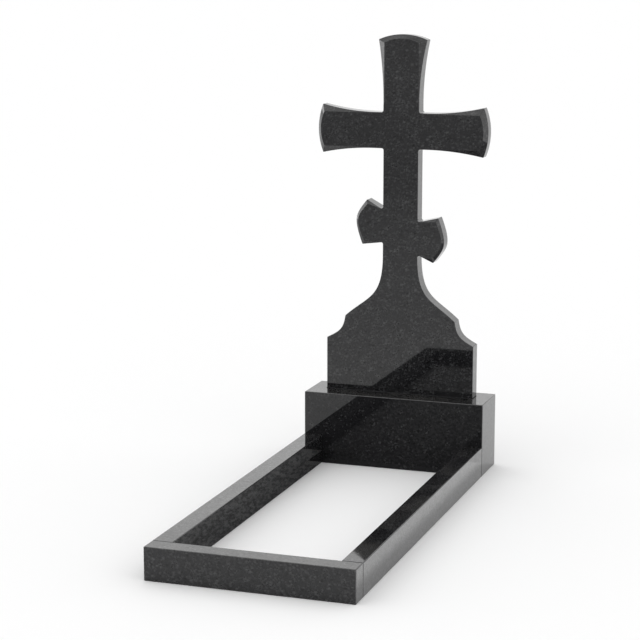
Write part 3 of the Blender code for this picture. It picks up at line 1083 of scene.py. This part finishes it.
# What the polish mirrors. Shades are greys along Y, each with its place, and corners are the near
# left and the far right one.
mirroredGround = {
    "shades": (
        (-40, 0.60), (-12.3, 0.57), (-7.7, 0.47), (-5.3, 0.50), (-2.6, 0.75), (-1.25, 0.84), (-0.5, 0.95)
    ),
    "height": 0.001,
    "bedShades": ((-0.55, 0.30), (0.45, 0.20)),
    "bedHeights": (0.002, 0.035),
    "bedMottle": 0.35,
    "mottle": (125.0, 38.0, 125.0),  # how close the lumps lie along each axis
    "mottleDetail": 2.0,
    "mottleEdges": (0.35, 0.65),
    "mottleTurn": 16.8,
    "cardHeight": 0.002,
    "sideGrey": 0.32,
    "headCard": ((-0.90, 0.43), (0.248, 0.90)),
    "sideCard": ((0.42, -0.50), (3.05, 0.90)),
    # painted shadow: greys for the shade on the ground in front of the front curb, seen only in the polish
    "frontShadowShades": ((-0.95, 0.88), (-0.61, 0.82)),
    "frontShadowCard": ((-0.33, -0.95), (0.27, -0.61)),
    "horizonGrey": 0.22,
    "horizonSides": (-30.0, 20.0),
    "horizonAway": -16.0,
    "horizonHeights": (2.0, 6.0),
    # painted light: a sheet beside the right curb that glows though it is no lamp, seen only in the polish
    "glowCorners": ((0.272, -0.90), (0.42, 0.60)),
    "glowBrightness": 0.34,
    "glowRise": 0.035,
}

softLights = {
    # place, what it faces, width, height, brightness
    "leftLight": ((-2.7, -0.2, 1.05), (0.0, 0.5, 0.9), 3.6, 2.0, 2.0),
    "rightLight": ((3.1, -0.9, 1.27), (0.0, -0.9, 1.27), 3.4, 2.5, 0.56),
    "frontLight": ((-1.1, -1.1, 3.8), (0.0, 0.5, 0.9), 3.0, 3.0, 0.42),
}


def plainFinish(name, colour):
    material, _, shader = newFinish(name)
    shader.inputs["Base Color"].default_value = colour
    shader.inputs["Roughness"].default_value = studio["roughness"]
    shader.inputs["Specular IOR Level"].default_value = studio["specular"]
    return material


def greyFinish(name, grey):
    return plainFinish(name, (grey, grey, grey, 1))


def shadedFinish(name, shades, mottle=0.0):
    g = mirroredGround
    material = plainFinish(name, studio["floorColour"])
    tree = material.node_tree
    first, last = shades[0][0], shades[-1][0]
    place = objectPlace(tree)
    along = addNode(tree, "ShaderNodeSeparateXYZ", {"Vector": place}).outputs["Y"]
    share = addNode(tree, "ShaderNodeMapRange", {"Value": along, "From Min": first, "From Max": last})
    bands = addNode(tree, "ShaderNodeValToRGB", {"Fac": share.outputs["Result"]})
    steps = bands.color_ramp.elements
    for start, _ in shades[1:-1]:
        steps.new((start - first) / (last - first))
    for step, (_, shade) in zip(steps, shades):
        step.color = (shade, shade, shade, 1)
    turn = (0.0, 0.0, math.radians(g["mottleTurn"]))
    turned = addNode(tree, "ShaderNodeMapping", {"Vector": place, "Rotation": turn})
    packed = vectorCalc(tree, "MULTIPLY", turned.outputs["Vector"], g["mottle"])
    lumps = ramp(tree, noise(tree, packed, 1.0, g["mottleDetail"])["Fac"], *g["mottleEdges"])
    lit = calc(tree, "MULTIPLY_ADD", lumps, 2 * mottle, 1 - mottle)
    mixed = blendColour(tree, 1.0, bands.outputs["Color"], lit, "MULTIPLY")
    tree.links.new(mixed, tree.nodes["Principled BSDF"].inputs["Base Color"])
    return material


# A sheet that glows though it is no lamp: painted light for the polish to mirror
def glowFinish(name, brightness, start, end):  # grows from nothing at start to full at end, along X
    material = plainFinish(name, studio["floorColour"])
    tree = material.node_tree
    across = addNode(tree, "ShaderNodeSeparateXYZ", {"Vector": objectPlace(tree)}).outputs["X"]
    grown = calc(tree, "MULTIPLY", ramp(tree, across, start, end), brightness)
    shader = tree.nodes["Principled BSDF"]
    shader.inputs["Emission Color"].default_value = (1, 1, 1, 1)
    tree.links.new(grown, shader.inputs["Emission Strength"])
    return material


def sheet(name, corners, material):
    mesh = bpy.data.meshes.new(name)
    mesh.from_pydata(corners, [], [(0, 1, 2, 3)])
    mesh.materials.append(material)
    made = newObject(name, mesh)
    return made


def flatSheet(name, low, high, height, material):
    corners = [(low[0], low[1]), (high[0], low[1]), (high[0], high[1]), (low[0], high[1])]
    return sheet(name, [(x, y, height) for x, y in corners], material)


def paleFloor():
    half = studio["floorHalf"]
    flatSheet("floor", (-half, -half), (half, half), 0.0, plainFinish("paleFloor", studio["floorColour"]))


# The ground as the polish sees it: grey further out, dark in the plot, behind the head and on the
# right, with painted shadow in front of the front curb, painted light from a glowing sheet beside
# the right curb, and a dark horizon in front
def mirroredCards():
    g = mirroredGround
    half = studio["floorHalf"]
    raised = g["cardHeight"]
    left, right = g["horizonSides"]
    bottom, top = g["horizonHeights"]
    away = g["horizonAway"]
    upright = [(left, away, bottom), (right, away, bottom), (right, away, top), (left, away, top)]
    ground = shadedFinish("groundCard", g["shades"])
    front = shadedFinish("frontShadowCard", g["frontShadowShades"])
    side = greyFinish("sideCard", g["sideGrey"])
    start = g["glowCorners"][0][0]
    glow = glowFinish("sideGlow", g["glowBrightness"], start, start + g["glowRise"])
    cards = [
        flatSheet("groundCard", (-half, -half), (half, half), g["height"], ground),
        flatSheet("headCard", *g["headCard"], raised, side),
        flatSheet("sideCard", *g["sideCard"], raised, side),
        # painted shadow on the ground in front of the front curb, seen only in the polish
        flatSheet("frontShadowCard", *g["frontShadowCard"], raised, front),
        flatSheet("sideGlow", *g["glowCorners"], raised, glow),
        sheet("horizonCard", upright, greyFinish("horizonCard", g["horizonGrey"])),
    ]
    bed = shadedFinish("bedCard", g["bedShades"], g["bedMottle"])
    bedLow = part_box("left_curb")[1].x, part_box("front_curb")[1].y
    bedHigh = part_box("right_curb")[0].x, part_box("pedestal")[0].y
    cards += [flatSheet("bedCard", bedLow, bedHigh, height, bed) for height in g["bedHeights"]]
    for card in cards:
        card.visible_camera = False
        card.visible_diffuse = False
        card.visible_shadow = False
        card.visible_transmission = False


def placeSoftLights():
    for name, (place, target, width, height, brightness) in softLights.items():
        lamp = bpy.data.lights.new(name, "AREA")
        lamp.shape = "RECTANGLE"
        lamp.size = width
        lamp.size_y = height
        lamp.energy = brightness * math.pi * width * height  # even brightness over the whole panel
        made = newObject(name, lamp)
        made.location = place
        made.rotation_euler = (Vector(target) - Vector(place)).to_track_quat("-Z", "Y").to_euler()
        made.visible_diffuse = False  # a sheen on the polish alone, so that the floor stays even


def whiteSurroundings():
    world = bpy.data.worlds.new("surroundings")
    world.use_nodes = True
    background = world.node_tree.nodes["Background"]
    background.inputs["Color"].default_value = (1, 1, 1, 1)
    background.inputs["Strength"].default_value = studio["surroundings"]
    bpy.context.scene.world = world


paleFloor()
mirroredCards()
placeSoftLights()
whiteSurroundings()
bpy.context.scene.view_settings.view_transform = "Standard"
print("studio made")
